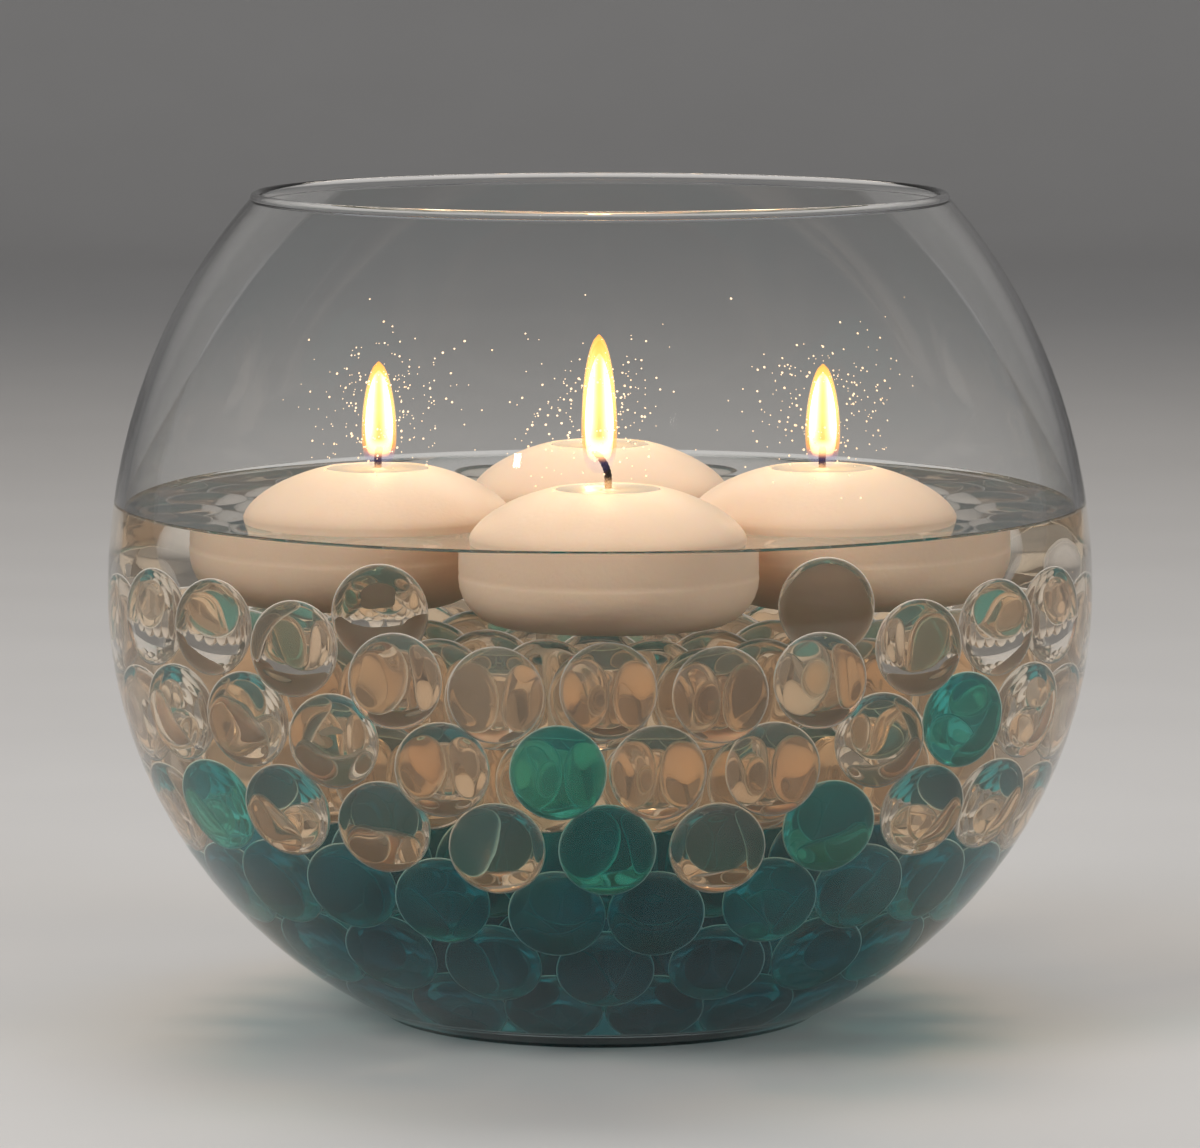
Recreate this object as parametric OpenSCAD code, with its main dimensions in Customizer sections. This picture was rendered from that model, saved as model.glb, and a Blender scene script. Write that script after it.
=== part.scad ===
// Floating candle bowl: a blown glass bubble bowl holding a bed of glass marbles, water and
// four round floating candles. Origin at the middle of the foot, +Z up, +Y away from the viewer.

/* [Bowl] */
// Outer diameter of the bowl at its belly
bowl_d = 254; // [220:1:320]
// Overall height of the bowl
bowl_h = 213; // [190:1:260]
// Height of the belly above the table
belly_z = 110; // [95:1:130]
// Outer diameter of the mouth
mouth_d = 179.5; // [165:0.5:215]
// Diameter of the foot
foot_d = 113.6; // [90:0.2:140]
// Thickness of the glass wall
wall_t = 2.8; // [2:0.1:4]
// Extra thickness of the wall low down, where the glass is heaviest
heel_t = 1.4; // [0:0.1:3]
// Thickness of the glass floor
floor_t = 6; // [4:0.1:10]
// Thickness of the wall under the rim, where the glass is thinnest
rim_t = 2.2; // [1.8:0.1:4]
// Diameter of the fire-polished rim bead
rim_bead_d = 2.8; // [2.4:0.1:6]
// Depth of the shallow hollow under the foot
kick_depth = 1.6; // [0.5:0.1:3]
// Width of the ring that the foot stands on
foot_ring_w = 7; // [4:0.5:15]

/* [Water] */
// Height of the water surface above the table
water_z = 132.5; // [125:0.5:145]
// Gap between the water and what it wets
wet_gap = 0.25; // [0.2:0.05:0.3]

/* [Marbles] */
// Diameter of a marble
marble_d = 23; // [19:0.5:25]
// Least gap between neighbouring marbles
marble_gap = 0.5; // [0.5:0.05:0.7]
// Gap between the outermost marbles and the glass
wall_gap = 0.7; // [0.7:0.05:0.9]
// Gap between a marble and the water round it
marble_wet_gap = 0.2; // [0.15:0.01:0.2]
// Number of full rows of marbles up the wall
wall_rows = 6; // [4:1:6]
// Number of lower rows that are teal
teal_rows = 3; // [1:1:4]
// Number of layers of marbles in the core of the bed
core_layers = 5; // [3:1:5]
// Angle of the front marble of every second row, from straight ahead
front_turn = 1; // [-4:0.5:4]

/* [Candles] */
// Diameter of a candle
candle_d = 68; // [56:0.5:69]
// Depth of a candle's underside below the water
draught = 21; // [19:0.5:21]
// Diameter of the flat underside of a candle
candle_base_d = 44; // [36:1:46]
// Height of the curved underside
taper_h = 11; // [9:0.5:12]
// Height of the straight side above it
side_h = 10; // [7:0.5:12]
// Height of the dome above the straight side, were it closed over the melt pool
dome_h = 13.8; // [10:0.2:15]
// Diameter of the shallow melt pool round the wick
pool_d = 28; // [20:1:34]
// Depth of the melt pool
pool_depth = 1; // [0.6:0.1:2]
// Gap between the front candle and the glass at the waterline
front_gap = 4.6; // [4:0.2:12]
// How far to the right of the middle the front candle has drifted
front_drift = 2; // [-2:0.5:2]
// Gap between a side candle and the front one, were that in the middle
side_gap = 7; // [6:0.5:12]
// Bearing of a side candle from the front one, 0 if it were straight to the side
side_bearing = 41.7; // [38:0.1:50]
// Gap between the back candle and a side candle
back_gap = 14; // [8:0.5:20]

/* [Wicks] */
// Diameter of a wick
wick_d = 2; // [1.6:0.1:2.6]
// Gap between the wick and what it passes through
wick_gap = 0.2; // [0.15:0.05:0.3]
// Straight length of wick above the wax, at the pool
wick_rise = 3; // [2:0.5:6]
// Radius of the bend of a burnt wick
wick_bend_r = 8.5; // [7:0.5:16]
// Angle through which the front wick bends over
front_bend = 52; // [20:1:60]
// Angle through which the other wicks bend over
other_bend = 20; // [10:1:40]
// Diameter of the sustainer disc
sustainer_d = 16; // [12:0.5:20]
// Thickness of the sustainer sheet
sustainer_t = 0.4; // [0.3:0.05:0.6]
// Outer diameter of the sustainer's neck
neck_d = 4; // [3.4:0.1:5]
// Height of the sustainer's neck
neck_h = 4; // [3:0.5:6]

/* [Lifting out] */
// Height through which a candle lifts out
lift_h = 104; // [100:1:120]
// Where the front candle's axis ends up, ahead of the bowl's axis
front_lifted = 41.2; // [38:0.2:42]
// Where the side candles' axes end up, to the left and right
side_lifted = 49.6; // [48:0.2:50]
// Where they end up, behind the bowl's axis
side_lifted_back = 6.2; // [5:0.2:7]
// Where the back candle's axis ends up, behind the bowl's axis
back_lifted = 53.4; // [50:0.2:54]

/* [Hidden] */
$fn = 64;

// Bowl outline. Each half is part of an ellipse that shares the belly's height.
arc_steps = 14;
bowl_r = bowl_d / 2;
rim_z = bowl_h - rim_bead_d / 2;
rim_r = mouth_d / 2 - rim_bead_d / 2;
foot_z = 1.2;
out_up = (rim_z - belly_z) / sqrt(1 - pow((rim_r + rim_t / 2) / bowl_r, 2));
out_low = (belly_z - foot_z) / sqrt(1 - pow((foot_d / 2) / bowl_r, 2));
in_r = bowl_r - wall_t;
in_up = (rim_z - belly_z) / sqrt(1 - pow((rim_r - rim_t / 2) / in_r, 2));
in_low = out_low - wall_t - heel_t;

function arc_up(r, h, top) =
    let (last = asin((top - belly_z) / h))
    [for (i = [0:arc_steps]) let (a = last * i / arc_steps) [r * cos(a), belly_z + h * sin(a)]];
function arc_low(r, h, bottom) =
    let (first = asin((belly_z - bottom) / h))
    [for (i = [0:arc_steps - 1])
        let (a = first * (1 - i / arc_steps)) [r * cos(a), belly_z - h * sin(a)]];
function inner_r(z) = in_r * sqrt(1 - pow((z - belly_z) / (z > belly_z ? in_up : in_low), 2));
function backwards(list) = [for (i = [len(list) - 1:-1:0]) list[i]];

// Where each candle's axis is afloat, and where it is when lifted out
candle_r = candle_d / 2;
front_y = candle_r + front_gap - inner_r(water_z);
side_x = (candle_d + side_gap) * cos(side_bearing);
side_y = front_y + (candle_d + side_gap) * sin(side_bearing);
back_y = side_y + sqrt(pow(candle_d + back_gap, 2) - pow(side_x, 2));
FRONT = [[front_drift, front_y], [0, -front_lifted]];
BACK = [[0, back_y], [0, back_lifted]];
LEFT = [[-side_x, side_y], [-side_lifted, side_lifted_back]];
RIGHT = [[side_x, side_y], [side_lifted, side_lifted_back]];
CANDLES = [FRONT, BACK, LEFT, RIGHT];

// Marble bed. A marble against the wall has its centre at tilt degrees below the belly's plane.
marble_r = marble_d / 2;
pitch = marble_d + marble_gap;
bed_r = in_r - marble_r - wall_gap;
bed_low = in_low - marble_r - wall_gap;
bed_z = floor_t + marble_r + wall_gap;
floor_tilt = asin((belly_z - bed_z) / bed_low);
row_step = pitch * sqrt(3) / 2 / bed_low * 180 / PI;
settle_step = 0.25;
// Least gap between the pair at the front of a row
twin_gap = 0.05;

// Teal marbles that lie among the clear ones, as [row, degrees from straight ahead]
STRAYS = [[3, 1], [3, 30], [3, -65], [4, -6], [4, 50]];
stray_reach = 6.5;
// Where the sparse top row's marbles lie, in degrees from straight ahead
TOP_ROW = [-30, 31];
// How far a marble of that row may have rolled in from the wall, and how far to each side
top_insets = [12:2:16];
top_rolls = [-3:1.5:3];
drop_step = 0.5;
// Room left between those marbles and a candle
candle_room = 0.5;

function seat(turn, tilt) = [
    bed_r * cos(tilt) * sin(turn), -bed_r * cos(tilt) * cos(turn), belly_z - bed_low * sin(tilt)
];
function is_free(p, others, apart = pitch) = len([for (q = others) if (norm(p - q) < apart) 1]) == 0;
// The lowest place against the wall at which a marble rests on others, and clear of its twin
function settled(turn, tilt, others, twin = []) =
    let (p = seat(turn, tilt))
    is_free(p, others) && is_free(p, twin, marble_d + twin_gap) ? p :
    settled(turn, tilt - settle_step, others, twin);
function mean_tilt(row) = floor_tilt - row * row_step;
function start_tilt(row) = row == 0 ? floor_tilt : mean_tilt(row) + row_step / 2;
function ring_step(row) = 2 * asin(pitch / 2 / (bed_r * cos(mean_tilt(row))));
// Every second row starts with one marble at the front, the others with a pair beside it
function first_turn(row) = row % 2 == 0 ? ring_step(row) / 2 : 0;
function turn_of(p) = atan2(p.x, -p.y);
// One side of a row: each next marble rolls into the lowest dip it can reach beside the last
slack_steps = 3;
slack = 0.8;
function beside(row, dir, below, done, turn) =
    let (
        others = concat(below, done),
        tries = [for (i = [0:slack_steps]) turn + dir * (ring_step(row) + i * slack)],
        seats = [for (t = tries) settled(t, start_tilt(row), others)],
        low = min([for (p = seats) p.z]),
        best = [for (i = [0:slack_steps]) if (seats[i].z < low + settle_step) i][0]
    )
    abs(tries[best]) > 180 - ring_step(row) / 2 ? done :
    beside(row, dir, below, concat(done, [seats[best]]), tries[best]);
function laid(row, below) =
    let (
        left_turn = front_turn - first_turn(row),
        right_turn = front_turn + first_turn(row),
        front = [settled(left_turn, start_tilt(row), below)],
        first = right_turn == left_turn ? front :
            concat(front, [settled(right_turn, start_tilt(row), below, front)]),
        right = beside(row, 1, below, first, right_turn)
    )
    beside(row, -1, below, right, left_turn);
function stacked(rows = []) =
    len(rows) >= wall_rows ? rows :
    stacked(concat(rows, [laid(len(rows), len(rows) == 0 ? [] : rows[len(rows) - 1])]));
ROWS = stacked();
WALL_MARBLES = [for (row = ROWS) for (p = row) p];

function is_stray(row, p) =
    len([for (s = STRAYS) if (s[0] == row && abs(turn_of(p) - s[1]) < stray_reach) 1]) > 0;
function plain_row(row) = [for (p = ROWS[row]) if (!is_stray(row, p)) p];
STRAY_MARBLES = [for (row = [0:wall_rows - 1]) for (p = ROWS[row]) if (is_stray(row, p)) p];

// Core of the bed: level layers in a close-packed grid, kept clear of the wall rows
layer_h = pitch * sqrt(2 / 3);
grid_n = ceil(bowl_r / pitch) + 1;
function grid_point(layer, i, j) = [
    (i + (j % 2 == 0 ? 0 : 0.5) + (layer % 2 == 0 ? 0 : 0.5)) * pitch,
    (j * sqrt(3) / 2 + (layer % 2 == 0 ? 0 : sqrt(3) / 6)) * pitch,
    bed_z + layer * layer_h
];
function is_inside(p) =
    pow(norm([p.x, p.y]) / (bed_r - pitch / 2), 2) + pow((belly_z - p.z) / (bed_low - pitch / 2), 2) < 1;
function core_layer(layer) = [
    for (i = [-grid_n:grid_n]) for (j = [-grid_n:grid_n])
        let (p = grid_point(layer, i, j))
        if (is_inside(p) && is_free(p, WALL_MARBLES)) p
];
TEAL_CORE = [for (layer = [0:teal_rows - 1]) for (p = core_layer(layer)) p];
CLEAR_CORE = [for (layer = [teal_rows:core_layers - 1]) for (p = core_layer(layer)) p];
// Each marble of the top row has rolled into the lowest dip within its reach, clear of the candles
function is_beside_candles(p) =
    min([for (c = CANDLES) norm([p.x, p.y] - c[0])]) > candle_r + marble_r + candle_room;
function dropped(turn, r, z, others) =
    let (p = [r * sin(turn), -r * cos(turn), z])
    is_free(p, others) ? p : dropped(turn, r, z + drop_step, others);
function rolled(turn, bed) =
    let (
        z = seat(0, mean_tilt(wall_rows - 1)).z,
        about = bed_r * [sin(turn), -cos(turn)],
        others = [for (q = bed) if (norm([q.x, q.y] - about) < 2.5 * pitch) q],
        tries = [
            for (roll = top_rolls) for (inset = top_insets) dropped(turn + roll, bed_r - inset, z, others)
        ],
        seats = [for (p = tries) if (is_beside_candles(p)) p],
        low = min([for (p = seats) p.z])
    )
    [for (p = seats) if (p.z == low) p][0];
TOP = [for (turn = TOP_ROW) rolled(turn, concat(ROWS[wall_rows - 1], CLEAR_CORE))];
// Steps in the water's edge where it meets the glass
shelf_steps = 4;

// Candles
candle_z = water_z - draught;
dome_z = taper_h + side_h;
dome_power = 1.3;
dome_last = acos(pool_d / candle_d);
candle_h = dome_z + dome_h * pow(sin(dome_last), dome_power);
wick_z = neck_h + sustainer_t;
// How far a candle's pocket in the water reaches along its lift, so that the lift stays clear
function pocket_shift(candle) = (candle[1] - candle[0]) / lift_h * (draught - 0.8 * taper_h) / 2;

// The curved underside of a candle, from its flat base out to its side, larger all round by grow
base_r = candle_base_d / 2;
taper_w = candle_r - base_r;
curve_steps = 8;
function taper(grow) = [
    for (i = [0:curve_steps])
        let (a = 90 * i / curve_steps, outward = [taper_h * sin(a), -taper_w * cos(a)])
        [base_r + taper_w * sin(a), taper_h * (1 - cos(a))] + grow * outward / norm(outward)
];
// The dome of a candle, from its side in to the edge of the melt pool
function dome() = [
    for (i = [0:curve_steps])
        let (a = dome_last * i / curve_steps)
        [candle_r * cos(a), dome_z + dome_h * pow(sin(a), dome_power)]
];
// The melt pool is a shallow bowl of this radius
pool_curve_r = (pow(pool_d / 2, 2) + pow(pool_depth, 2)) / (2 * pool_depth);

module glass_bowl() {
    color([0.86, 0.92, 0.93, 0.35])
    rotate_extrude() {
        polygon(concat(
            [[0, kick_depth], [foot_d / 2 - foot_ring_w - 3, kick_depth], [foot_d / 2 - foot_ring_w, 0]],
            [[foot_d / 2 - foot_z, 0]],
            arc_low(bowl_r, out_low, foot_z),
            arc_up(bowl_r, out_up, rim_z),
            backwards(arc_up(in_r, in_up, rim_z)),
            backwards(arc_low(in_r, in_low, floor_t)),
            [[0, floor_t]]
        ));
        translate([rim_r, rim_z]) circle(d = rim_bead_d);
    }
}

module candle_pocket(candle) {
    gap = wet_gap + norm(pocket_shift(candle));
    translate(candle[0] + pocket_shift(candle))
    translate([0, 0, candle_z])
    rotate_extrude()
    polygon(concat([[0, -gap]], taper(gap), [[candle_r + gap, candle_h], [0, candle_h]]));
}

// The open water above the marble bed. Against the wall it starts above the highest marbles.
module water() {
    bed_top = bed_z + (core_layers - 1) * layer_h + marble_r + marble_wet_gap;
    high = [for (p = WALL_MARBLES) if (p.z + marble_r > bed_top) norm([p.x, p.y])];
    well_r = min(concat([bed_r], high)) - marble_r - marble_wet_gap;
    rows_top = max([for (p = WALL_MARBLES) p.z]) + marble_r + marble_wet_gap;
    wall_top = max(rows_top, bed_top);
    color([0.80, 0.88, 0.88, 0.30])
    difference() {
        rotate_extrude()
        polygon(concat(
            [[0, bed_top]],
            wall_top > bed_top ? [[well_r, bed_top], [well_r, wall_top]] : [],
            [for (i = [0:shelf_steps]) let (z = wall_top + (water_z - wall_top) * i / shelf_steps)
                [inner_r(z) - wet_gap, z]],
            [[0, water_z]]
        ));
        for (p = TOP) translate(p) sphere(r = marble_r + marble_wet_gap);
        for (candle = CANDLES) candle_pocket(candle);
    }
}

module marbles(places, tint) {
    color(tint)
    for (p = places) translate(p) sphere(r = marble_r);
}

module candle_place(candle) {
    translate(candle[0]) translate([0, 0, candle_z]) children();
}

module candle_wax(candle) {
    color([0.95, 0.88, 0.76])
    candle_place(candle)
    difference() {
        rotate_extrude() polygon(concat([[0, 0]], taper(0), dome(), [[0, candle_h]]));
        translate([0, 0, candle_h - pool_depth + pool_curve_r]) sphere(r = pool_curve_r, $fn = 200);
        translate([0, 0, -1]) cylinder(d = wick_d + 2 * wick_gap, h = candle_h + 1);
        translate([0, 0, -1]) cylinder(d = neck_d + 2 * wick_gap, h = wick_z + wick_gap + 1);
        translate([0, 0, -1]) cylinder(d = sustainer_d + 2 * wick_gap, h = sustainer_t + wick_gap + 1);
    }
}

module candle_wick(candle, bend, lean_turn) {
    straight = candle_h - pool_depth + wick_rise - sustainer_t - wick_gap;
    color([0.20, 0.14, 0.10])
    candle_place(candle)
    translate([0, 0, sustainer_t + wick_gap]) {
        cylinder(d = wick_d, h = straight);
        translate([0, 0, straight])
        rotate(lean_turn)
        translate([-wick_bend_r, 0, 0])
        rotate([90, 0, 0])
        rotate_extrude(angle = bend)
        translate([wick_bend_r, 0]) circle(d = wick_d);
    }
}

module candle_sustainer(candle) {
    color([0.70, 0.70, 0.68])
    candle_place(candle)
    difference() {
        union() {
            cylinder(d = sustainer_d, h = sustainer_t);
            cylinder(d = neck_d, h = wick_z);
        }
        translate([0, 0, sustainer_t]) cylinder(d = wick_d + 2 * wick_gap, h = neck_h + 1);
    }
}

CLEAR = [0.93, 0.90, 0.82, 0.45];
TEAL = [0.05, 0.42, 0.45, 0.60];

glass_bowl();
water();
marbles(plain_row(0), TEAL);  // teal_marbles_row_1
marbles(plain_row(1), TEAL);  // teal_marbles_row_2
marbles(plain_row(2), TEAL);  // teal_marbles_row_3
marbles(plain_row(3), CLEAR);  // clear_marbles_row_4
marbles(plain_row(4), CLEAR);  // clear_marbles_row_5
marbles(plain_row(5), CLEAR);  // clear_marbles_row_6
marbles(TOP, CLEAR);  // clear_marbles_top_row
marbles(STRAY_MARBLES, TEAL);  // stray_teal_marbles
marbles(TEAL_CORE, TEAL);  // teal_marbles_core
marbles(CLEAR_CORE, CLEAR);  // clear_marbles_core
candle_wax(FRONT);  // front_candle_wax
candle_wick(FRONT, front_bend, 0);  // front_candle_wick
candle_sustainer(FRONT);  // front_candle_sustainer
candle_wax(BACK);  // back_candle_wax
candle_wick(BACK, other_bend, 40);  // back_candle_wick
candle_sustainer(BACK);  // back_candle_sustainer
candle_wax(LEFT);  // left_candle_wax
candle_wick(LEFT, other_bend, 200);  // left_candle_wick
candle_sustainer(LEFT);  // left_candle_sustainer
candle_wax(RIGHT);  // right_candle_wax
candle_wick(RIGHT, other_bend, 250);  // right_candle_wick
candle_sustainer(RIGHT);  // right_candle_sustainer
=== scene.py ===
import math
import random

import bpy
from mathutils import Matrix, Vector


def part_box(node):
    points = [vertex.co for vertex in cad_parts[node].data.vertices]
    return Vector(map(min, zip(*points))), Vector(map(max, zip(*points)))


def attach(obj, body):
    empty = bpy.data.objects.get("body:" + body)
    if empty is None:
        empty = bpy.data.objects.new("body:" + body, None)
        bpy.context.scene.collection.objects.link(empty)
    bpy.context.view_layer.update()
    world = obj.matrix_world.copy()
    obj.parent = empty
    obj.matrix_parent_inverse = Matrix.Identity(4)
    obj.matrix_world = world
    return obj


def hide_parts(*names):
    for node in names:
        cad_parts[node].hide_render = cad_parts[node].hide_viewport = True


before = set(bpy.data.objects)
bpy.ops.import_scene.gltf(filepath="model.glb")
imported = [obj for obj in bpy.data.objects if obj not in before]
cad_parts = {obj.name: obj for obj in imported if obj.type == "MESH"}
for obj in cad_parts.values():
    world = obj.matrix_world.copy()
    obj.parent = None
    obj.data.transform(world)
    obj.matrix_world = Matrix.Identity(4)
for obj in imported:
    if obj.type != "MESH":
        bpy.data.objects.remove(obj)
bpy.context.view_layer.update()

# The studio: a pale sweep of painted board, three soft lamps, two small ones that show as
# glints in the glass, and a grey room round them. The camera looks from a little above the
# rim, with a long lens.

bpy.context.scene.view_settings.view_transform = "Standard"
# Light passes a dozen marbles on its way through the bowl
bpy.context.scene.cycles.max_bounces = 24
bpy.context.scene.cycles.transmission_bounces = 24
bpy.context.scene.cycles.transparent_max_bounces = 40

VIEW_DISTANCE = 1.68
VIEW_PITCH = math.radians(6.6)
VIEW_HEIGHT = 0.114
bpy.ops.object.select_all(action="DESELECT")
bpy.ops.object.camera_add(
    location=(
        0,
        -VIEW_DISTANCE * math.cos(VIEW_PITCH),
        VIEW_HEIGHT + VIEW_DISTANCE * math.sin(VIEW_PITCH),
    ),
    rotation=(math.pi / 2 - VIEW_PITCH, 0, 0),
)
camera = bpy.context.object
camera.name = "camera"
camera.data.sensor_width = 36
camera.data.lens = 195
bpy.context.scene.camera = camera


class Wire:
    """A socket in a material. Arithmetic on it adds Math nodes, and node() adds any other."""

    def __init__(self, tree, socket=None):
        self.tree, self.socket = tree, socket

    def node(self, kind, settings, values, out=0):
        made = self.tree.nodes.new(kind)
        for name, value in settings.items():
            if name == "stops":
                ramp = made.color_ramp.elements
                while len(ramp) < len(value):
                    ramp.new(1)
                for stop, (place, colour) in zip(ramp, value):
                    stop.position, stop.color = place, (*colour, 1)
            else:
                setattr(made, name, value)
        for name, value in values.items():
            if isinstance(value, Wire):
                self.tree.links.new(value.socket, made.inputs[name])
            else:
                made.inputs[name].default_value = value
        return Wire(self.tree, made.outputs[out] if made.outputs else None)

    def maths(self, operation, first, second=0.0, clamp=False):
        return self.node(
            "ShaderNodeMath", {"operation": operation, "use_clamp": clamp}, {0: first, 1: second}
        )

    def __add__(self, other):
        return self.maths("ADD", self, other)

    __radd__ = __add__

    def __sub__(self, other):
        return self.maths("SUBTRACT", self, other)

    def __rsub__(self, other):
        return self.maths("SUBTRACT", other, self)

    def __mul__(self, other):
        return self.maths("MULTIPLY", self, other)

    __rmul__ = __mul__

    def __truediv__(self, other):
        return self.maths("DIVIDE", self, other)

    def __pow__(self, other):
        return self.maths("POWER", self, other)

    def blend(self, low, high):
        """A colour or number mix: low where this wire is 0, high where it is 1."""
        return self.node("ShaderNodeMix", {"data_type": "RGBA"}, {0: self, 6: low, 7: high}, 2)

    def between(self, start, end):
        """0 below start, 1 above end, and a smooth rise between them."""
        return self.node(
            "ShaderNodeMapRange",
            {"interpolation_type": "SMOOTHSTEP"},
            {"Value": self, "From Min": start, "From Max": end},
        )


def new_finish(name):
    """An empty material and a wire to start its nodes from."""
    finish = bpy.data.materials.new(name)
    finish.use_nodes = True
    finish.node_tree.nodes.clear()
    return finish, Wire(finish.node_tree)


def output(start, shader):
    start.node("ShaderNodeOutputMaterial", {}, {"Surface": shader})


def noise(start, place, scale, detail=2.0, rough=0.5, out=0):
    return start.node(
        "ShaderNodeTexNoise",
        {},
        {"Vector": place, "Scale": scale, "Detail": detail, "Roughness": rough},
        out,
    )


# The board stands far enough back that a camera behind the bowl is still in front of it
BOARD_HALF = 4.5
BOARD_BACK = 3.8
BOARD_BEND = 0.9
BEND_STEPS = 24
bpy.ops.mesh.primitive_plane_add(size=2 * BOARD_HALF, location=(0, BOARD_BACK - BOARD_HALF, 0))
board = bpy.context.object
board.name = "studio_board"
bpy.ops.object.transform_apply()
bpy.ops.object.mode_set(mode="EDIT")
bpy.ops.mesh.select_all(action="DESELECT")
bpy.ops.object.mode_set(mode="OBJECT")
for edge in board.data.edges:
    edge.select = all(board.data.vertices[v].co.y > BOARD_BACK - 0.01 for v in edge.vertices)
bpy.ops.object.mode_set(mode="EDIT")
bpy.ops.mesh.select_mode(type="EDGE")
bpy.ops.mesh.extrude_region_move(TRANSFORM_OT_translate={"value": (0, 0, BOARD_HALF)})
bpy.ops.object.mode_set(mode="OBJECT")
bend = board.modifiers.new("bend", "BEVEL")
bend.width = BOARD_BEND
bend.segments = BEND_STEPS
bpy.ops.object.modifier_apply(modifier="bend")
bpy.ops.object.shade_smooth()

board_finish, start = new_finish("painted_board")
place = start.node("ShaderNodeTexCoord", {}, {}, "Object")
mottle = noise(start, place, 9.0, 4.0)
output(
    start,
    start.node(
        "ShaderNodeBsdfPrincipled",
        {},
        {
            "Base Color": mottle.blend((0.50, 0.485, 0.47, 1), (0.54, 0.525, 0.51, 1)),
            "Roughness": 0.38 + 0.08 * mottle,
            "Specular IOR Level": 0.35,
        },
    ),
)
board.data.materials.append(board_finish)

room = bpy.data.worlds.new("room")
bpy.context.scene.world = room
room.use_nodes = True
room.node_tree.nodes["Background"].inputs["Color"].default_value = (0.60, 0.61, 0.63, 1)
room.node_tree.nodes["Background"].inputs["Strength"].default_value = 0.42


def softbox(name, place, aim, wide, high, watts, colour=(1, 1, 1), seen_in_gloss=False):
    """A soft lamp at a place, turned to its aim. It isn't seen through glass."""
    turn = (Vector(aim) - Vector(place)).to_track_quat("-Z", "Y").to_euler()
    bpy.ops.object.light_add(type="AREA", location=place, rotation=turn)
    lamp = bpy.context.object
    lamp.name = name
    lamp.data.shape = "RECTANGLE"
    lamp.data.size, lamp.data.size_y = wide, high
    lamp.data.energy = watts
    lamp.data.color = colour
    lamp.visible_glossy = seen_in_gloss
    lamp.visible_transmission = False


softbox("key_lamp", (-1.1, -0.9, 1.25), (0, 0, 0.1), 0.7, 0.9, 20)
softbox("fill_lamp", (1.3, -0.8, 0.8), (0, 0, 0.1), 0.5, 1.0, 10)
softbox("top_lamp", (0.1, 0.5, 1.5), (0, 0, 0.1), 0.9, 0.5, 11)
softbox("rim_lamp", (0, 1.6, 1.3), (0, 0, 0.2), 1.2, 0.25, 5, (1, 0.90, 0.78), True)
softbox("glint_lamp", (-0.55, -1.5, 0.9), (0, 0, 0.1), 0.05, 0.08, 0.5, (1, 0.92, 0.82), True)


# The bowl: soda glass blown into a mould, its mouth cut and melted back into a round bead.
# The wall is 2.8 mm thick at the belly, 2.2 mm at the rim and heavier towards the foot, which
# stands on a ring round a shallow hollow.

BELLY = 0.110
OUT_RADIUS, OUT_UP, OUT_LOW = 0.1270, 0.14312, 0.12164
IN_RADIUS, IN_UP, IN_LOW = 0.1242, 0.14276, 0.11744
RIM_HEIGHT, RIM_RADIUS, BEAD_RADIUS = 0.2116, 0.08835, 0.0014
OUTER_TOP, INNER_TOP = RIM_HEIGHT - 0.0003, RIM_HEIGHT - 0.0015
FOOT_RADIUS, FOOT_RING, FOOT_RISE, HOLLOW = 0.0568, 0.007, 0.0012, 0.0016
FLOOR_HEIGHT, CORNER_RISE, CORNER_REACH = 0.006, 0.0012, 0.003
MIDDLE = 0.004  # radius of the flat disc that closes the glass at its axis
BOWL_SIDES, WALL_STEPS, BEAD_STEPS = 192, 40, 18
BEAD_START, BEAD_SWEEP = -12, 264


def arc_radius(height, radius, up, low):
    """Radius at a height of a wall that is one half-ellipse above the belly and one below."""
    drop = (height - BELLY) / (up if height > BELLY else low)
    return radius * math.sqrt(1 - drop * drop)


def wall_radius(height):
    """Radius of the bowl's inside at a height above the table."""
    return arc_radius(height, IN_RADIUS, IN_UP, IN_LOW)


def turned(name, rings, sides, centre=(0, 0), smooth_up_to=50):
    """A closed body turned round an upright axis. Each ring is a radius and a height."""
    bpy.ops.object.select_all(action="DESELECT")
    radius, height = rings[0]
    bpy.ops.mesh.primitive_circle_add(
        vertices=sides, radius=radius, fill_type="NGON", location=(*centre, height)
    )
    body = bpy.context.object
    body.name = body.data.name = name
    bpy.ops.object.transform_apply()
    bpy.ops.object.mode_set(mode="EDIT")
    bpy.ops.mesh.select_all(action="SELECT")
    for next_radius, next_height in rings[1:]:
        bpy.ops.mesh.extrude_region_move(
            TRANSFORM_OT_translate={"value": (0, 0, next_height - height)}
        )
        grow = next_radius / radius
        bpy.ops.transform.resize(value=(grow, grow, 1), center_override=(*centre, 0))
        radius, height = next_radius, next_height
    bpy.ops.mesh.select_all(action="SELECT")
    bpy.ops.mesh.normals_make_consistent(inside=False)
    bpy.ops.object.mode_set(mode="OBJECT")
    bpy.ops.object.shade_smooth_by_angle(angle=math.radians(smooth_up_to))
    return body


def lit_through(start, glass, shade):
    """Glass that lamps shine through, so that what it holds is lit, tinted by shade."""
    shadow = start.node("ShaderNodeLightPath", {}, {}, "Is Shadow Ray")
    clear = start.node("ShaderNodeBsdfTransparent", {}, {"Color": (*shade, 1)})
    return start.node("ShaderNodeMixShader", {}, {0: shadow, 1: glass, 2: clear})


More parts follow.
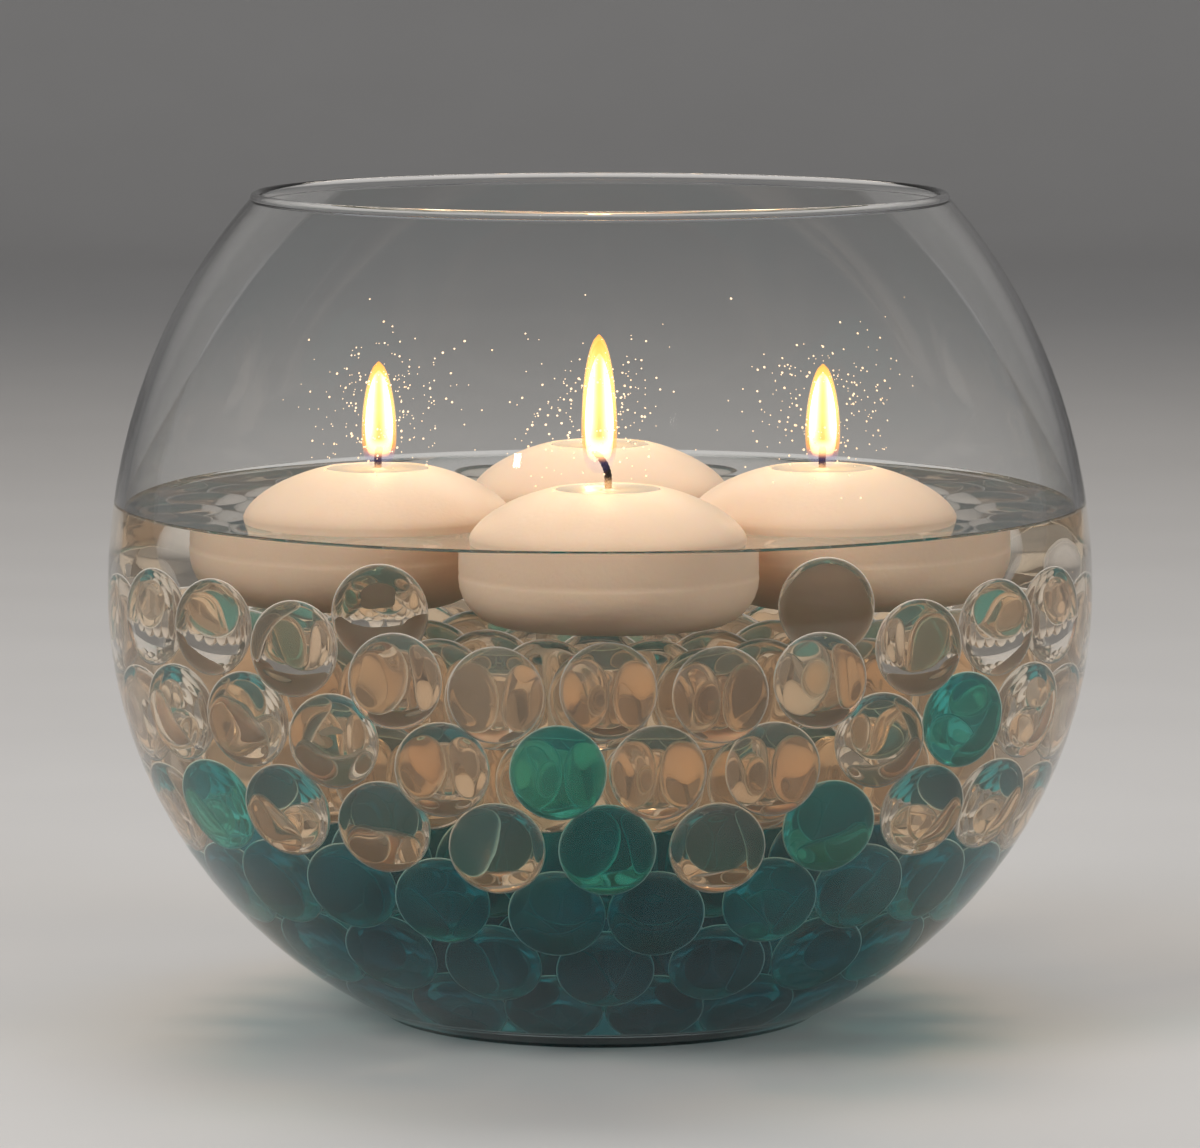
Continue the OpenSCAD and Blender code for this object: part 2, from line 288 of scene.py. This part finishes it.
ring_inside = FOOT_RADIUS - FOOT_RING
bowl_rings = [(MIDDLE, HOLLOW), (ring_inside - 0.003, HOLLOW)]
bowl_rings += [(ring_inside - 0.0012, HOLLOW * 0.45), (ring_inside, 0)]
bowl_rings += [(FOOT_RADIUS - 0.0030, 0), (FOOT_RADIUS - 0.0012, 0.0002)]
bowl_rings += [(FOOT_RADIUS - 0.0004, 0.0006)]
for i in range(WALL_STEPS + 1):
    share = (1 - math.cos(math.pi * i / WALL_STEPS)) / 2
    height = FOOT_RISE + (OUTER_TOP - FOOT_RISE) * share
    bowl_rings.append((arc_radius(height, OUT_RADIUS, OUT_UP, OUT_LOW), height))
for i in range(BEAD_STEPS + 1):
    turn = math.radians(BEAD_START + BEAD_SWEEP * i / BEAD_STEPS)
    bowl_rings.append(
        (RIM_RADIUS + BEAD_RADIUS * math.cos(turn), RIM_HEIGHT + BEAD_RADIUS * math.sin(turn))
    )
for i in range(WALL_STEPS + 1):
    share = (1 - math.cos(math.pi * i / WALL_STEPS)) / 2
    height = INNER_TOP - (INNER_TOP - FLOOR_HEIGHT - CORNER_RISE) * share
    bowl_rings.append((wall_radius(height), height))
floor_edge = bowl_rings[-1][0]
bowl_rings += [(floor_edge - 0.0012, FLOOR_HEIGHT + 0.0003)]
bowl_rings += [(floor_edge - CORNER_REACH, FLOOR_HEIGHT), (MIDDLE, FLOOR_HEIGHT)]
bowl = turned("blown_bowl", bowl_rings, BOWL_SIDES, smooth_up_to=80)
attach(bowl, "bowl")
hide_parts("glass_bowl")

glass_finish, start = new_finish("blown_glass")
place = start.node("ShaderNodeTexCoord", {}, {}, "Object")
flow = noise(start, place, 14.0, 1.0)
swell = start.node("ShaderNodeBump", {}, {"Strength": 0.10, "Distance": 0.002, "Height": flow})
body = start.node(
    "ShaderNodeBsdfPrincipled",
    {},
    {
        "Base Color": (0.985, 0.990, 0.990, 1),
        "Roughness": 0.0,
        "IOR": 1.5,
        "Specular Tint": (0.45, 0.45, 0.45, 1),
        "Transmission Weight": 1.0,
        "Normal": swell,
    },
)
output(start, lit_through(start, body, (0.97, 0.975, 0.975)))
bowl.data.materials.append(glass_finish)


# The water: it fills the bowl from its floor to the mark, round the marbles and candles.
# It creeps a millimetre up the glass all round, which is the dark line at its edge.

WATER_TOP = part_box("water")[1].z
GLASS_WET = 0.0001  # how far the water reaches into the glass, so that no air lies between them
SIDE_STEPS = 36
CREEP = [
    # In from the wall, up from the surface
    (0.0, 0.0011),
    (0.0002, 0.0010),
    (0.0005, 0.0006),
    (0.0010, 0.00028),
    (0.0018, 0.0001),
    (0.0032, 0.0),
]
water_rings = [(floor_edge - CORNER_REACH, FLOOR_HEIGHT - GLASS_WET)]
for i in range(SIDE_STEPS + 1):
    climb = (WATER_TOP - FLOOR_HEIGHT - 0.0002) * i / SIDE_STEPS
    height = FLOOR_HEIGHT + CORNER_RISE + climb
    water_rings.append((wall_radius(height) + GLASS_WET, height))
for inward, rise in CREEP:
    water_rings.append((wall_radius(WATER_TOP) + GLASS_WET - inward, WATER_TOP + rise))
water = turned("water_body", water_rings, BOWL_SIDES)
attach(water, "bowl")
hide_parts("water")

water_finish, start = new_finish("still_water")
place = start.node("ShaderNodeTexCoord", {}, {}, "Object")
ripple = noise(start, place, 26.0, 1.0)
swell = start.node("ShaderNodeBump", {}, {"Strength": 0.12, "Distance": 0.001, "Height": ripple})
body = start.node(
    "ShaderNodeBsdfPrincipled",
    {},
    {
        "Base Color": (0.992, 0.996, 0.994, 1),
        "Roughness": 0.0,
        "IOR": 1.33,
        "Specular Tint": (0.30, 0.30, 0.30, 1),
        "Transmission Weight": 1.0,
        "Normal": swell,
    },
)
output(start, lit_through(start, body, (0.97, 0.98, 0.98)))
water.data.materials.append(water_finish)


# The marbles: pressed glass balls, clear with a champagne cast above and teal below.
# Each is a little uneven and differently tinted, so no two bend the light alike. They are the
# CAD model's own balls with a finish each.

MARBLE_IOR = 1.24  # less than in air, because light comes to the glass out of water


def marble_finish(name, light, deep, edge, see_through):
    """Slightly milky glass, with a painted highlight round its outline: a pale skin there stands
    in for the bright edge of a ball under water.
    """
    finish, start = new_finish(name)
    place = start.node("ShaderNodeTexCoord", {}, {}, "Object")
    cast = noise(start, place, 30.0, 0.0).between(0.35, 0.65)
    dents = noise(start, place, 90.0, 1.0)
    skin = start.node("ShaderNodeBump", {}, {"Strength": 0.25, "Distance": 0.001, "Height": dents})
    glass = start.node(
        "ShaderNodeBsdfPrincipled",
        {},
        {
            "Base Color": cast.blend((*light, 1), (*deep, 1)),
            "Roughness": 0.0,
            "IOR": MARBLE_IOR,
            "Specular Tint": (0.40, 0.40, 0.40, 1),
            "Transmission Weight": see_through,
            "Normal": skin,
        },
    )
    # Painted highlight: a pale, lamp-lit skin that covers the glass at the ball's outline
    painted_rim = start.node(
        "ShaderNodeBsdfPrincipled", {}, {"Base Color": (*edge, 1), "Roughness": 0.25, "IOR": 1.3}
    )
    facing = start.node("ShaderNodeLayerWeight", {}, {"Blend": 0.5}, "Facing")
    ball = start.node(
        "ShaderNodeMixShader", {}, {0: 0.8 * facing.between(0.70, 0.95), 1: glass, 2: painted_rim}
    )
    output(start, lit_through(start, ball, light))
    return finish


# Each takes its light and deep tints, the colour of its painted rim highlight, and how much of it
# is clear glass
champagne = marble_finish(
    "champagne_glass", (0.995, 0.94, 0.86), (0.985, 0.89, 0.79), (0.98, 0.90, 0.80), 0.97
)
teal = marble_finish(
    "teal_glass_deep", (0.03, 0.50, 0.55), (0.01, 0.36, 0.42), (0.50, 0.80, 0.78), 0.90
)
sea_green = marble_finish(
    "sea_green_glass", (0.08, 0.66, 0.62), (0.03, 0.50, 0.50), (0.62, 0.90, 0.84), 0.92
)
marble_glass = {"clear": champagne, "teal": teal, "stray": sea_green}
for name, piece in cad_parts.items():
    if "marbles" in name:
        piece.data.materials[0] = marble_glass[name.split("_")[0]]


# The candles: pressed ivory wax, domed above and bowl-shaped below, each with a pool of
# melted wax round a braided cotton wick. The tin foot that holds the wick is set in below.

CANDLE_RADIUS, BASE_RADIUS, TAPER_HEIGHT, TAPER_STEPS = 0.034, 0.022, 0.011, 8
DOME_RISE, DOME_POWER, DOME_STEPS = 0.0138, 1.3, 12
POOL_RADIUS, POOL_DEPTH, MELT_DEPTH = 0.014, 0.001, 0.0004
DOME_END = math.acos(POOL_RADIUS / CANDLE_RADIUS)
SEAT_RADIUS, SEAT_DEPTH, NECK_RADIUS, NECK_TOP = 0.0083, 0.0008, 0.0022, 0.0050
WICK_HOLE = 0.0013
SEAM_HEIGHT, SEAM_DEPTH = 0.0012, 0.00012
WAX_SIDES, MELT_SIDES = 120, 72


def give_places(piece, centre, foot, top, radius):
    """A UV map that holds each point's distance from the wick and its height, as shares."""
    layer = piece.data.uv_layers.new(name="places")
    for loop in piece.data.loops:
        spot = piece.data.vertices[loop.vertex_index].co
        out = math.hypot(spot.x - centre[0], spot.y - centre[1])
        layer.data[loop.index].uv = (out / radius, (spot.z - foot) / (top - foot))


def places(start):
    """The two shares that give_places wrote: distance from the wick, and height."""
    uv = start.node("ShaderNodeUVMap", {"uv_map": "places"}, {})
    out = start.node("ShaderNodeSeparateXYZ", {}, {0: uv}, "X")
    return out, start.node("ShaderNodeSeparateXYZ", {}, {0: uv}, "Y")


wax_finish, start = new_finish("ivory_wax")
place = start.node("ShaderNodeTexCoord", {}, {}, "Object")
out, up = places(start)
near_flame = 1 - out.between(0.0, 0.95)
bloom = noise(start, place, 160.0, 4.0, 0.6)
pits = noise(start, place, 900.0, 2.0, 0.5)
body = bloom.blend((0.86, 0.63, 0.45, 1), (0.83, 0.585, 0.40, 1))
# Painted light: the wax is paler and warmer towards the wick, as if lit by its flame
body = (near_flame * 0.55).blend(body, (0.96, 0.74, 0.48, 1))
# Painted glow: the wax gives light of its own near the wick and towards its top, in place of the
# flame light that shines through it
painted_flame_glow = (near_flame**2 * up.between(0.45, 1.0)).blend((0, 0, 0, 1), (1.0, 0.50, 0.20, 1))
wax = start.node(
    "ShaderNodeBsdfPrincipled",
    {},
    {
        "Base Color": body,
        "Roughness": 0.36 + 0.16 * bloom,
        "IOR": 1.44,
        "Subsurface Weight": 0.35,
        "Subsurface Radius": (1.0, 0.5, 0.25),
        "Subsurface Scale": 0.006,
        "Emission Color": painted_flame_glow,
        "Emission Strength": 0.30,
        "Normal": start.node(
            "ShaderNodeBump",
            {},
            {"Strength": 0.35, "Distance": 0.0003, "Height": bloom + 0.5 * pits},
        ),
    },
)
output(start, wax)

pool_finish, start = new_finish("melted_wax")
out, up = places(start)
# Painted light of the flame: the melt is paler near the wick and gives light of its own there
painted_glow_share = 1 - out.between(0.0, 1.0)
output(
    start,
    start.node(
        "ShaderNodeBsdfPrincipled",
        {},
        {
            "Base Color": painted_glow_share.blend((0.93, 0.77, 0.58, 1), (1.0, 0.80, 0.52, 1)),
            "Roughness": 0.16,
            "IOR": 1.44,
            "Coat Weight": 0.25,
            "Coat Roughness": 0.05,
            "Emission Color": (painted_glow_share**1.5).blend((0, 0, 0, 1), (1.0, 0.55, 0.22, 1)),
            "Emission Strength": 0.30,
        },
    ),
)

wick_finish, start = new_finish("burnt_cotton")
place = start.node("ShaderNodeTexCoord", {}, {}, "Object")
out, up = places(start)
fibre = noise(start, place, 2600.0, 3.0)
char = (up + 0.25 * (fibre - 0.5)).between(0.18, 0.42)
ember = (up + 0.10 * (fibre - 0.5)).between(0.86, 0.97)
cotton = char.blend((0.80, 0.52, 0.28, 1), (0.018, 0.013, 0.010, 1))
output(
    start,
    start.node(
        "ShaderNodeBsdfPrincipled",
        {},
        {
            "Base Color": ember.blend(cotton, (0.25, 0.10, 0.03, 1)),
            "Roughness": 0.9 - 0.5 * (1 - char),
            "Emission Color": ember.blend((0, 0, 0, 1), (1.0, 0.28, 0.05, 1)),
            "Emission Strength": 0.9,
            "Normal": start.node(
                "ShaderNodeBump", {}, {"Strength": 0.6, "Distance": 0.0002, "Height": fibre}
            ),
        },
    ),
)

tin_finish, start = new_finish("tinned_sheet")
place = start.node("ShaderNodeTexCoord", {}, {}, "Object")
scuffs = noise(start, place, 700.0, 3.0)
output(
    start,
    start.node(
        "ShaderNodeBsdfPrincipled",
        {},
        {
            "Base Color": scuffs.blend((0.62, 0.61, 0.58, 1), (0.74, 0.73, 0.70, 1)),
            "Metallic": 1.0,
            "Roughness": 0.25 + 0.2 * scuffs,
        },
    ),
)

# Each candle's name, its wick's bend and the way it bends in degrees, and its flame's height
CANDLES = [
    ("front", 52, 0, 0.0325),
    ("back", 20, 40, 0.0285),
    ("left", 20, 200, 0.0268),
    ("right", 20, 250, 0.0262),
]
BEND_RADIUS, STRAIGHT_RISE, WICK_IN_WAX, WICK_STEPS = 0.0085, 0.003, 0.004, 40


def wick_path(centre, pool, bend, lean):
    """Points along the middle of a wick, from inside the wax up to its tip."""
    length = WICK_IN_WAX + STRAIGHT_RISE + BEND_RADIUS * math.radians(bend)
    way = Vector((math.cos(math.radians(lean)), math.sin(math.radians(lean)), 0))
    points = []
    for i in range(WICK_STEPS + 1):
        along = length * i / WICK_STEPS - WICK_IN_WAX
        turn = max(0.0, (along - STRAIGHT_RISE) / BEND_RADIUS)
        rise = along if turn == 0 else STRAIGHT_RISE + BEND_RADIUS * math.sin(turn)
        sideways = BEND_RADIUS * (1 - math.cos(turn))
        points.append(Vector((*centre, pool + rise)) - way * sideways)
    return points


def braided(name, path, strands=3, reach=0.00052, thick=0.00052, turns=5.0, burnt=5):
    """A plait of strands wound round a path, that thins over its last few burnt points."""
    made = []
    for strand in range(strands):
        bpy.ops.object.select_all(action="DESELECT")
        bpy.ops.curve.primitive_nurbs_path_add()
        curve = bpy.context.object.data
        spline = curve.splines[0]
        spline.points.add(len(path) - len(spline.points))
        spline.use_endpoint_u = True
        for i, (point, middle) in enumerate(zip(spline.points, path)):
            angle = 2 * math.pi * (turns * i / len(path) + strand / strands)
            side = Vector((math.cos(angle), math.sin(angle), 0)) * reach
            point.co = (*(middle + side), 1)
            point.radius = 1 if i < len(path) - burnt else 1.15 - 0.11 * (i - len(path) + burnt)
        curve.bevel_depth = thick
        curve.bevel_resolution = 2
        curve.resolution_u = 2
        curve.use_fill_caps = True
        bpy.ops.object.convert(target="MESH")
        bpy.ops.object.transform_apply()
        made.append(bpy.context.object)
    bpy.ops.object.select_all(action="DESELECT")
    for strand in made:
        strand.select_set(True)
    bpy.context.view_layer.objects.active = made[0]
    bpy.ops.object.join()
    bpy.context.object.name = bpy.context.object.data.name = name
    return bpy.context.object


# The wax is turned with its pool and the seat of its tin foot, then left a little uneven
flame_seats = {}
for name, bend, lean, _ in CANDLES:
    low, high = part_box(name + "_candle_sustainer")
    centre = ((low.x + high.x) / 2, (low.y + high.y) / 2)
    foot, seam = low.z, low.z + TAPER_HEIGHT + SEAM_HEIGHT
    rings = [(NECK_RADIUS, foot + NECK_TOP), (NECK_RADIUS, foot + SEAT_DEPTH + 0.0001)]
    rings += [(SEAT_RADIUS, foot + SEAT_DEPTH), (SEAT_RADIUS, foot + 0.0002)]
    rings += [(SEAT_RADIUS + 0.0004, foot), (BASE_RADIUS - 0.001, foot)]
    rings += [(BASE_RADIUS, foot + 0.0001)]
    for i in range(1, TAPER_STEPS + 1):
        turn = math.pi / 2 * i / TAPER_STEPS
        radius = BASE_RADIUS + (CANDLE_RADIUS - BASE_RADIUS) * math.sin(turn)
        rings.append((radius, foot + TAPER_HEIGHT * (1 - math.cos(turn))))
    rings += [(CANDLE_RADIUS, seam - 0.0006), (CANDLE_RADIUS - SEAM_DEPTH, seam)]
    rings += [(CANDLE_RADIUS, seam + 0.0006), (CANDLE_RADIUS, WATER_TOP)]
    for i in range(1, DOME_STEPS + 1):
        turn = DOME_END * i / DOME_STEPS
        rise = DOME_RISE * math.sin(turn) ** DOME_POWER
        rings.append((CANDLE_RADIUS * math.cos(turn), WATER_TOP + rise))
    lip = rings[-1][1]
    pool = lip - POOL_DEPTH
    rings += [(POOL_RADIUS - 0.0006, lip + 0.00005), (POOL_RADIUS - 0.0013, lip - MELT_DEPTH)]
    rings += [(POOL_RADIUS - 0.0024, lip - 0.0009), (POOL_RADIUS / 2, pool - 0.0003)]
    rings += [(WICK_HOLE, pool - 0.0003)]
    wax = turned(name + "_wax_body", rings, WAX_SIDES, centre)
    unevenness = bpy.data.textures.new(name + "_unevenness", "CLOUDS")
    unevenness.noise_scale = 0.016
    sag = wax.modifiers.new("sag", "DISPLACE")
    sag.texture = unevenness
    sag.texture_coords = "LOCAL"
    sag.strength = 0.0004
    sag.mid_level = 0.85
    bpy.ops.object.modifier_apply(modifier="sag")
    give_places(wax, centre, foot, lip, CANDLE_RADIUS)
    wax.data.materials.append(wax_finish)
    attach(wax, name + "_candle")
    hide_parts(name + "_candle_wax")

    # The melt stands up a little where it wets the pool's wall and the wick
    level = lip - MELT_DEPTH
    melt_rings = [(0.0060, level - MELT_DEPTH), (POOL_RADIUS - 0.0019, level - MELT_DEPTH)]
    melt_rings += [(POOL_RADIUS - 0.0012, level + 0.00012), (POOL_RADIUS - 0.0018, level)]
    melt_rings += [(0.0030, level - 0.0001), (0.0018, level), (WICK_HOLE, level + 0.0003)]
    melt = turned(name + "_melt_pool", melt_rings, MELT_SIDES, centre)
    give_places(melt, centre, level - 0.001, level, POOL_RADIUS)
    melt.data.materials.append(pool_finish)
    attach(melt, name + "_candle")

    path = wick_path(centre, pool, bend, lean)
    wick = braided(name + "_braided_wick", path)
    give_places(wick, centre, pool, path[-1].z, CANDLE_RADIUS)
    wick.data.materials.append(wick_finish)
    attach(wick, name + "_candle")
    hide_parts(name + "_candle_wick")
    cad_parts[name + "_candle_sustainer"].data.materials[0] = tin_finish
    flame_seats[name] = (centre, path[-1])


# The flames: a white-hot heart in a yellow and orange sheath, blue where it leaves the wick.
# They ride on their candles. The light that they give is warm and small beside the studio's.


def flame_finish(name, colours, strength, thinning, foot, full):
    """Glowing gas, coloured from foot to tip, that thins at its outline and at its foot."""
    finish, start = new_finish(name)
    out, up = places(start)
    facing = start.node("ShaderNodeLayerWeight", {}, {"Blend": 0.5}, "Facing")
    light = start.node(
        "ShaderNodeBsdfPrincipled",
        {},
        {
            "Base Color": (0, 0, 0, 1),
            "Roughness": 1.0,
            "Emission Color": start.node("ShaderNodeValToRGB", {"stops": colours}, {"Fac": up}),
            "Emission Strength": strength,
        },
    )
    clear = start.node("ShaderNodeBsdfTransparent", {}, {"Color": (1, 1, 1, 1)})
    seen = (1 - facing) ** thinning * (foot + (1 - foot) * up.between(*full))
    output(start, start.node("ShaderNodeMixShader", {}, {0: seen, 1: clear, 2: light}))
    return finish


sheath_colours = [
    (0.0, (0.03, 0.05, 0.30)),
    (0.09, (0.10, 0.08, 0.30)),
    (0.20, (0.85, 0.28, 0.05)),
    (0.55, (1.0, 0.58, 0.16)),
    (0.85, (1.0, 0.50, 0.12)),
    (1.0, (1.0, 0.36, 0.06)),
]
heart_colours = [
    (0.0, (0.85, 0.30, 0.08)),
    (0.18, (1.0, 0.62, 0.25)),
    (0.40, (1.0, 0.88, 0.62)),
    (0.80, (1.0, 0.90, 0.68)),
    (1.0, (1.0, 0.72, 0.36)),
]
sheath_finish = flame_finish("flame_sheath", sheath_colours, 2.0, 0.8, 0.10, (0.06, 0.30))
heart_finish = flame_finish("flame_heart", heart_colours, 22.0, 1.2, 0.0, (0.02, 0.35))

FLAME_WIDTH, FLAME_STEPS, FLAME_SIDES = 0.0088, 22, 40
FOOT_POWER, TIP_POWER, WIDEST_AT = 0.28, 0.55, 0.337
BELOW_TIP = 0.0052  # how far the flame reaches down the burnt end of its wick


def flame_width(share):
    """Width of a drop at a share of its height: round at the foot, narrowing to a tip."""
    return share**FOOT_POWER * (1 - share) ** TIP_POWER


def flame_rings(foot, tall, wide):
    """The drop's rings from foot to tip, both of them cut off a hair short."""
    rings = []
    for i in range(FLAME_STEPS + 1):
        share = 0.004 + 0.994 * i / FLAME_STEPS
        radius = wide / 2 * flame_width(share) / flame_width(WIDEST_AT)
        rings.append((radius, foot + tall * share))
    return rings


for name, _, _, flame_height in CANDLES:
    centre, tip = flame_seats[name]
    middle = ((centre[0] + 2 * tip.x) / 3, (centre[1] + 2 * tip.y) / 3)
    for part, share, wide, lift, finish in (
        ("sheath", 1.0, FLAME_WIDTH, 0.0, sheath_finish),
        ("heart", 0.84, FLAME_WIDTH * 0.80, 0.0020, heart_finish),
    ):
        foot, tall = tip.z - BELOW_TIP + lift, flame_height * share
        flame = turned(
            f"{name}_flame_{part}", flame_rings(foot, tall, wide), FLAME_SIDES, middle
        )
        give_places(flame, middle, foot, foot + tall, wide / 2)
        bpy.ops.object.shade_smooth()
        flame.data.materials.append(finish)
        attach(flame, name + "_candle")


# Mist on the inside of the glass: fine drops that gather where the flames warm the wall.
# Each is a low dome of water that sits on the wall with its flat side against the glass.

DROPS, NEAREST_DROP, DROP_SPREAD = 230, 0.0055, 0.0085
SMALLEST_DROP, DROP_RANGE = 0.00013, 0.00020
MIST_RISE = 0.011  # from the wick's tip to the middle of its ring of drops
DRY_EDGE = 0.004  # no drops this near above the water
FLAT_SIDE = 0.1
bpy.ops.object.select_all(action="DESELECT")
bpy.ops.mesh.primitive_ico_sphere_add(subdivisions=2, radius=1)
one_drop = bpy.context.object
bpy.ops.object.mode_set(mode="EDIT")
bpy.ops.mesh.select_all(action="SELECT")
bpy.ops.mesh.bisect(
    plane_co=(0, 0, FLAT_SIDE), plane_no=(0, 0, 1), use_fill=True, clear_inner=True
)
bpy.ops.mesh.select_all(action="SELECT")
bpy.ops.transform.resize(value=(1, 1, 0.6), center_override=(0, 0, FLAT_SIDE))
bpy.ops.object.mode_set(mode="OBJECT")

mist_finish, start = new_finish("mist_drops")
place = start.node("ShaderNodeTexCoord", {}, {}, "Object")
# Painted glints: the water drops are a warm pale colour and give light of their own, in place of
# the flame light that they catch, varying at random over the drops
painted_glint_mottle = noise(start, place, 300.0, 1.0)
output(
    start,
    start.node(
        "ShaderNodeBsdfPrincipled",
        {},
        {
            "Base Color": painted_glint_mottle.blend((1.0, 0.80, 0.55, 1), (1.0, 0.93, 0.82, 1)),
            "Roughness": 0.08,
            "IOR": 1.33,
            "Coat Weight": 0.5,
            "Emission Color": painted_glint_mottle.blend((0.9, 0.45, 0.15, 1), (1.0, 0.70, 0.40, 1)),
            "Emission Strength": 1.1,
        },
    ),
)

STEP = 0.0001
eye = Vector(camera.location)
random.seed(7)
for name in ("front", "left", "right"):
    tip = flame_seats[name][1]
    made = []
    for _ in range(DROPS):
        angle = random.uniform(0, 2 * math.pi)
        away = NEAREST_DROP + abs(random.gauss(0, DROP_SPREAD))
        wide = SMALLEST_DROP + DROP_RANGE * random.random() ** 2
        spot = tip + Vector((away * math.cos(angle), 0, MIST_RISE + away * math.sin(angle)))
        if spot.z < WATER_TOP + DRY_EDGE:
            continue
        # Straight towards the viewer from beside the flame, as far as the wall
        step = (eye - spot).normalized() * STEP
        while math.hypot(spot.x, spot.y) < wall_radius(spot.z) - STEP:
            spot += step
        slope = (wall_radius(spot.z + 0.0005) - wall_radius(spot.z - 0.0005)) / 0.001
        outwards = Vector((spot.x, spot.y, 0)).normalized()
        inwards = Vector((-outwards.x, -outwards.y, slope)).normalized()
        drop = one_drop.copy()
        drop.data = one_drop.data.copy()
        drop.matrix_world = Matrix.LocRotScale(
            spot, inwards.to_track_quat("Z", "Y"), Vector((wide, wide, wide))
        )
        bpy.context.collection.objects.link(drop)
        made.append(drop)
    bpy.ops.object.select_all(action="DESELECT")
    for drop in made:
        drop.select_set(True)
    bpy.context.view_layer.objects.active = made[0]
    bpy.ops.object.join()
    mist = bpy.context.object
    mist.name = mist.data.name = name + "_mist"
    bpy.ops.object.transform_apply()
    bpy.ops.object.shade_smooth_by_angle(angle=math.radians(50))
    mist.data.materials.clear()
    mist.data.materials.append(mist_finish)
    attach(mist, "bowl")
bpy.data.objects.remove(one_drop)
